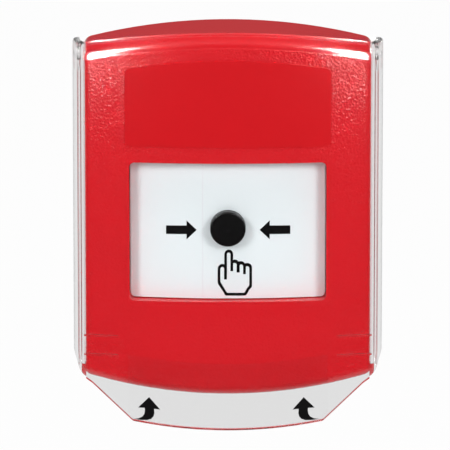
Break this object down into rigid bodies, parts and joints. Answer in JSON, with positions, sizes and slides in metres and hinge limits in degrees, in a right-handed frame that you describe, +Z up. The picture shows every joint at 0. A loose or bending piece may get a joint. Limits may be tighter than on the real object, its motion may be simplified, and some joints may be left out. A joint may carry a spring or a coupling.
{
  "type": "emergency push button",
  "caption": "Wall-mounted red emergency button with a bowed white press plate, a clear lift cover on side pins, and a key-turned reset latch.",
  "frame": {"origin": "on the wall, in the middle between the two wall-box screws", "axes": "+X to the user's right, +Y into the wall, +Z up"},
  "size_m": [0.105, 0.0394, 0.1348],
  "materials": {
    "red_housing": "fine-grained moulded plastic",
    "red_label": "smooth film",
    "dark_plate": "moulded, matt",
    "light_chassis": "moulded, matt",
    "white_plate": "satin",
    "black_disc": "satin",
    "spring_steel": "drawn wire",
    "switch_case": "moulded",
    "switch_red": "moulded",
    "contact_brass": "plated",
    "board_green": "solder mask",
    "block_green": "moulded",
    "resistor_tan": "lacquered",
    "flag_yellow": "moulded",
    "lock_grey": "moulded",
    "latch_white": "moulded",
    "screw_steel": "zinc plated",
    "clear_cover": "clear, polished"
  },
  "bodies": {
    "housing": {"front_housing": "red_housing", "label_panel": "red_label", "back_plate": "dark_plate", "mechanism_chassis": "light_chassis", "return_spring": "spring_steel", "switch_body": "switch_case", "switch_terminals": "contact_brass", "circuit_board": "board_green", "terminal_block": "block_green", "terminal_screws": "screw_steel", "line_resistors": "resistor_tan", "reset_lock_body": "lock_grey", "chassis_screws": "screw_steel", "board_screws": "screw_steel", "lock_screws": "screw_steel", "housing_screws": "screw_steel", "hinge_pins": "screw_steel"},
    "plate": {"press_plate": "white_plate", "push_disc": "black_disc"},
    "flag": {"status_flag": "flag_yellow"},
    "lever": {"switch_lever": "spring_steel"},
    "plunger": {"switch_plunger": "switch_red"},
    "barrel": {"reset_barrel": "latch_white"},
    "latch": {"latch_plate": "latch_white"},
    "cover": {"lift_cover": "clear_cover"}
  },
  "joints": [
    {"name": "cover_lift", "type": "hinge", "parent": "housing", "child": "cover", "pos_m": [0, -0.01, 0.0522], "axis": [-1, 0, 0], "range_deg": [0, 80]},
    {"name": "plate_press", "type": "slide", "parent": "housing", "child": "plate", "axis": [0, 1, 0], "range_m": [0, 0.003], "stiffness_N_per_m": 1500, "springref_m": -0.002, "deforming": ["return_spring"]},
    {"name": "flag_drop", "type": "slide", "parent": "housing", "child": "flag", "axis": [0, 0, -1], "range_m": [0, 0.006]},
    {"name": "lever_swing", "type": "hinge", "parent": "housing", "child": "lever", "pos_m": [-0.0054, -0.018, -0.022], "axis": [0, 0, 1], "range_deg": [0, 12.5]},
    {"name": "plunger_press", "type": "slide", "parent": "housing", "child": "plunger", "axis": [0, 1, 0], "range_m": [0, 0.0006]},
    {"name": "reset_turn", "type": "hinge", "parent": "housing", "child": "barrel", "pos_m": [0.016, -0.013, -0.05], "axis": [0, 0, 1], "range_deg": [0, 90]},
    {"name": "latch_slide", "type": "slide", "parent": "housing", "child": "latch", "axis": [1, 0, 0], "range_m": [0, 0.00424]}
  ],
  "couplings": [
    {"joint": "flag_drop", "follows": "plate_press", "ratio": 2},
    {"joint": "lever_swing", "follows": "plate_press", "rad_per_m": 72.2},
    {"joint": "plunger_press", "follows": "plate_press", "ratio": 0.2},
    {"joint": "reset_turn", "follows": "latch_slide", "rad_per_m": 370.3}
  ]
}
